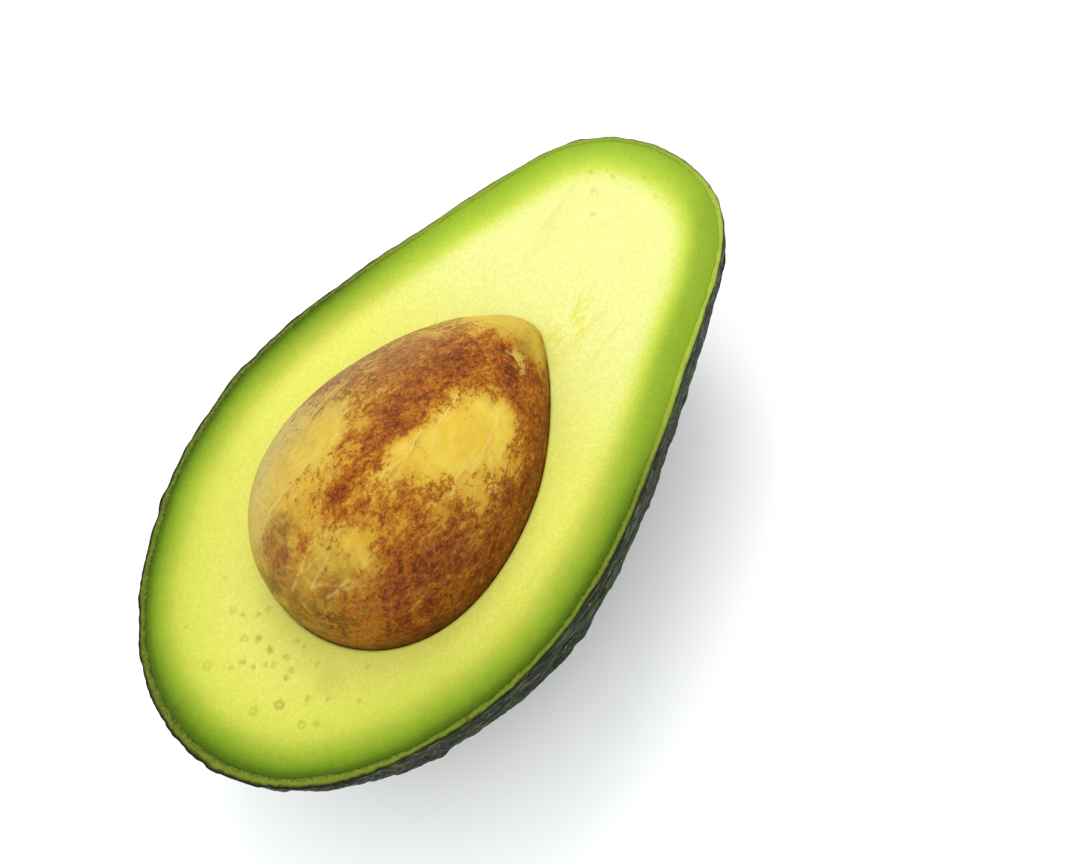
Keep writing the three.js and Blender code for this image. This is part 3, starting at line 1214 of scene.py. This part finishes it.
def lay_stone_map(mesh, body):
    """Upper half large and lower half small, each spread flat from its own middle."""
    layer = mesh.uv_layers.new(name="OFBake")
    corner = np.empty(len(mesh.loops), int)
    mesh.loops.foreach_get("vertex_index", corner)
    middle_z = body[corner, 2].reshape(-1, 4).mean(1).repeat(4)
    half_width = 17.5 * MM
    ray = body / (STONE_AXIS_LENGTH / 2, half_width, half_width)
    ray /= np.linalg.norm(ray, axis=1, keepdims=True)
    flat = np.zeros((len(corner), 2))
    for chosen, sign, centre, wide, high in (
        (middle_z >= 0, 1, (0.5, 0.635), 0.46, 0.345),
        (middle_z < 0, -1, (0.5, 0.14), 0.185, 0.125),
    ):
        r = ray[corner[chosen]]
        away = np.arccos(np.clip(sign * r[:, 2], -1, 1)) / (math.pi / 2)
        side = r[:, :2] / np.maximum(np.linalg.norm(r[:, :2], axis=1, keepdims=True), 1e-9)
        flat[chosen] = centre + away[:, None] * side * (wide, high)
    layer.data.foreach_set("uv", flat.astype(np.float32).ravel())


def seed_coat_tree():
    """The thin coat standing proud where it is left, fine creases along the stone, and raised veins."""
    tree, given = form_tree(
        "seed_coat", "Coat Height", "Grain Spacing", "Crease Height", "Vein Height", "Lump Height"
    )
    place = here(tree)
    shifted = place + joined(tree, y=given("Seed") * 0.31)
    clusters = centred(noise(place * (0.8, 1, 1), 1.0 / given("Grain Spacing"), 3.0, 0.6, 0.4))
    cover = clusters * 0.6 + maths("MULTIPLY_ADD", named(tree, "coat"), 0.62, -0.31)
    left = remap(cover, -0.12, 0.12)
    creases = centred(noise(shifted * (0.14, 1, 1), 520.0, 3.0, 0.6, 0.8))
    lumps = centred(noise(shifted, 75.0, 2.0))
    rise = left * given("Coat Height") + creases * given("Crease Height") + lumps * given("Lump Height")
    rise = rise + named(tree, "vein") * (1.0 - left * 0.7) * given("Vein Height")
    rise = rise - given("Coat Height")
    # Where the flesh holds the stone it is pressed smooth.
    up = parts(place)[2]
    rise = rise * remap(up, CUT_HEIGHT + 0.3 * MM, CUT_HEIGHT + 2.5 * MM, 0.1, 1.0)
    normal = take(put(tree, "GeometryNodeInputNormal"))
    return close_tree(tree, given, moved(tree, given("Mesh"), Offset=normal * rise))


def stone_material():
    material, shader, place = new_material("avocado_stone")
    coat = attribute(shader, "coat")
    vein = attribute(shader, "vein")
    share = attribute(shader, "share")
    flaky = attribute(shader, "flaky")
    clusters = centred(noise(place * (0.8, 1, 1), 430.0, 3.0, 0.6, 0.4))
    fibres = centred(noise(place * (0.7, 1, 1), 2300.0, 5.0, 0.72, 0.7))
    crumbs = centred(noise(place, 950.0, 3.0, 0.6, 0.5))
    fine = noise(place * (0.6, 1, 1), 3800.0, 3.0, 0.65, 0.6)
    ragged = clusters * 0.7 + fibres * 0.95 + crumbs * 0.4
    cover = ragged + remap(coat, 0.0, 1.15, -0.62, 0.34, smooth=False)
    left = remap(cover, -0.2, 0.06)
    _, across, up = parts(place)
    cloud = noise(place, 130.0, 3.0, 0.6, 0.5)
    bare = tint(remap(cloud, 0.36, 0.66), (244, 200, 64), (252, 220, 84))
    side = remap(across, -0.004, 0.01)
    dirt = remap(coat + clusters * 0.5, 0.04, 0.85, 0.0, 0.8)
    bare = tint(dirt, bare, (214, 148, 34))
    soaked = attribute(shader, "stain")
    blotches = remap(noise(place, 320.0, 5.0, 0.68, 0.6), 0.36, 0.62, 0.5, 1.35)
    soaked = maths("MULTIPLY", soaked, blotches, clamp=True)
    bare = tint(soaked, bare, (150, 88, 20))
    # Towards +Y the bare stone is greener and paler, like dried skin.
    dry = side * remap(share, 0.3, 0.8, 1.0, 0.45)
    bare = tint(dry * 0.85, bare, (204, 180, 86))
    streaks = noise(place * (0.3, 1, 1), 900.0, 4.0, 0.65, 1.0)
    bare = tint(remap(streaks, 0.54, 0.72, 0.0, 0.35), bare, (190, 138, 48))
    # Painted shade: the blunt end is darkened, unevenly.
    blunt_end_shade = remap(share, 0.0, 0.13, 1.0, 0.0) * remap(blotches, 0.35, 1.4, 0.45, 1.0)
    bare = tint(blunt_end_shade, bare, (110, 76, 12))
    bare = tint(remap(share, 0.88, 0.97, 0.0, 0.5), bare, (218, 186, 68))
    # Painted shade: low down, where the stone meets the flesh, it is darkened, most of all round the
    # broad end.
    low_down = remap(up + clusters * 0.002, CUT_HEIGHT, CUT_HEIGHT + 4 * MM, 1.0, 0.0)
    painted_contact_shade = low_down * remap(share, 0.1, 0.5, 0.85, 0.4)
    line = vein * (1.0 - left * 0.8)
    bare = tint(line * 0.75, bare, (248, 220, 122))
    brown = ramp(
        remap(cover, -0.24, 0.74, smooth=False),
        [
            (0.0, 228, 172, 54), (0.2, 208, 140, 34), (0.38, 186, 108, 20), (0.6, 162, 82, 12),
            (0.82, 130, 58, 6), (1.0, 102, 42, 3),
        ],
        "LINEAR",
    )
    brown = tint(remap(fine, 0.5, 0.75, 0.0, 0.5), brown, (208, 144, 52))
    # Painted shade: the brown coat is darker on the -Y side.
    painted_shade_side = remap(across, -0.01, -0.018)
    brown = tint(painted_shade_side * 0.3, brown, (86, 40, 6))
    brown = tint(side * 0.6, brown, (148, 108, 48))
    colour = tint(left, bare, brown)
    # Dusty lilac-brown bloom on the upper +Y side, with a painted sheen.
    dust_and_sheen = attribute(shader, "bloom_and_sheen") * remap(fibres, -0.35, 0.35, 0.85, 0.35)
    colour = tint(dust_and_sheen * 0.9, colour, (178, 128, 74))
    # Painted shade along the foot of the stone, where it meets the flesh.
    colour = tint(painted_contact_shade, colour, colour * (0.36, 0.36, 0.25))
    # The whole surface is finely freckled, least of all where it is rubbed bare.
    busy = left * 0.6 + soaked * 0.6
    busy = maths("ADD", busy, maths("MULTIPLY_ADD", dry + blunt_end_shade, 0.35, 0.12), clamp=True)
    freckles = noise(place * (0.75, 1, 1), 1250.0, 5.0, 0.72, 0.5)
    freckle = remap(freckles, 0.52, 0.34, 0.0, 0.95) * busy
    colour = tint(freckle, colour, colour * (0.5, 0.36, 0.22))
    glint = remap(freckles, 0.54, 0.7, 0.0, 0.7) * busy
    colour = tint(glint, colour, colour * (1.35, 1.45, 1.2))
    flake = remap(noise(place, 420.0, 4.0, 0.65) + flaky * 0.2, 0.68, 0.74, 0.0, 0.75)
    colour = tint(flake * flaky, colour, (236, 208, 100))
    feed(shader, "Base Color", colour)
    feed(shader, "Roughness", remap(fine, 0.3, 0.7, 0.3, 0.42) + left * 0.12)
    feed(shader, "Specular IOR Level", 0.1)
    height = left * 0.8 + fine * 0.7 + line * 0.7
    emboss(shader, height, 0.5, 0.12 * MM)
    return material


# ---------------------------------------------------------------- pieces


def finish_piece(mesh, name, form=None):
    """Makes the finished mesh a piece of the fruit, and takes away the form that it was made from."""
    mesh.name = name
    piece = in_scene(name, mesh)
    if form is not None:
        bpy.data.objects.remove(form)
    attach(piece, "root")
    return piece


peel_look = peel_material()
skin_form = peel_shell()
skin_mesh = grown(
    skin_form,
    peel_relief_tree(),
    peel_look,
    seed=4,
    pebble_spacing=3.4 * MM,
    pebble_height=0.56 * MM,
    wrinkle_height=0.36 * MM,
    dent_height=0.5 * MM,
)
skin = finish_piece(skin_mesh, "peel", skin_form)
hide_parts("skin")

speck_mesh = grown(
    skin,
    corky_speck_tree(),
    speck_material(),
    seed=12,
    speck_width=0.24 * MM,
    speck_spacing=0.85 * MM,
)
finish_piece(speck_mesh, "corky_specks")

scar_base = scar_lines(skin)
scar_mesh = grown(scar_base, corky_scar_tree(), scar_material(), seed=0, scar_width=0.13 * MM)
finish_piece(scar_mesh, "corky_scars", scar_base)

flesh_base = flesh_body()
flesh_mesh = grown(
    flesh_base,
    cut_face_tree(),
    flesh_material(),
    seed=7,
    mark_spacing=1.6 * MM,
    mark_height=0.035 * MM,
    swell_height=0.12 * MM,
)
flesh = finish_piece(flesh_mesh, "cut_flesh", flesh_base)
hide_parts("flesh")

stone_base = stone_form()
stone_mesh = grown(
    stone_base,
    seed_coat_tree(),
    stone_material(),
    seed=2,
    coat_height=0.07 * MM,
    grain_spacing=2.3 * MM,
    crease_height=0.05 * MM,
    vein_height=0.1 * MM,
    lump_height=0.22 * MM,
)
stone = finish_piece(stone_mesh, "seed", stone_base)
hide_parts("stone")


# ---------------------------------------------------------------- floor, light and camera


def pale_floor():
    material, shader, place = new_material("pale_floor")
    soft = noise(place, 3.0, 2.0)
    feeds = {0: remap(soft, 0.3, 0.7), 6: (0.92, 0.925, 0.93, 1), 7: (0.94, 0.942, 0.945, 1)}
    feed(shader, "Base Color", take(put(place.tree, "ShaderNodeMix", feeds, data_type="RGBA"), 2))
    feed(shader, "Roughness", 0.6)
    mesh = bpy.data.meshes.new("floor")
    reach = 3.0
    mesh.from_pydata(
        [(-reach, -reach, 0), (reach, -reach, 0), (reach, reach, 0), (-reach, reach, 0)],
        [],
        [(0, 1, 2, 3)],
    )
    mesh.materials.append(material)
    in_scene("floor", mesh)


def softbox(name, place, aim, wide, high, watts, colour):
    lamp = bpy.data.lights.new(name, "AREA")
    lamp.shape = "RECTANGLE"
    lamp.size, lamp.size_y = wide, high
    lamp.energy = watts
    lamp.color = colour
    box = in_scene(name, lamp)
    box.location = place
    box.rotation_euler = (Vector(place) - Vector(aim)).to_track_quat("Z", "Y").to_euler()


def light():
    world = bpy.data.worlds.new("soft_room")
    world.use_nodes = True
    back = world.node_tree.nodes["Background"]
    feed(back, 0, (0.98, 1.0, 1.0, 1))
    feed(back, 1, 1.3)
    bpy.context.scene.world = world
    centre = (0, 0, CUT_HEIGHT)
    softbox("window", (0.45, 0.3, 0.7), centre, 0.4, 0.3, 1.8, (1.0, 0.99, 0.97))


def camera():
    lens = bpy.data.cameras.new("camera")
    lens.sensor_width = 36
    lens.lens = 43.3
    lens.clip_start = 0.01
    lens.dof.use_dof = False
    eye = in_scene("camera", lens)
    aim = Vector((8.2 * MM, -11.8 * MM, CUT_HEIGHT))
    azimuth, elevation, roll = (math.radians(angle) for angle in (-19.45, 62.3, -33.9))
    away = 168.3 * MM
    back = Vector(
        (
            math.sin(azimuth) * math.cos(elevation),
            -math.cos(azimuth) * math.cos(elevation),
            math.sin(elevation),
        )
    )
    eye.location = aim + away * back
    eye.rotation_mode = "QUATERNION"
    eye.rotation_quaternion = back.to_track_quat("Z", "Y") @ Quaternion((0, 0, 1), roll)
    bpy.context.scene.camera = eye


pale_floor()
light()
camera()
bpy.context.scene.view_settings.view_transform = "Standard"
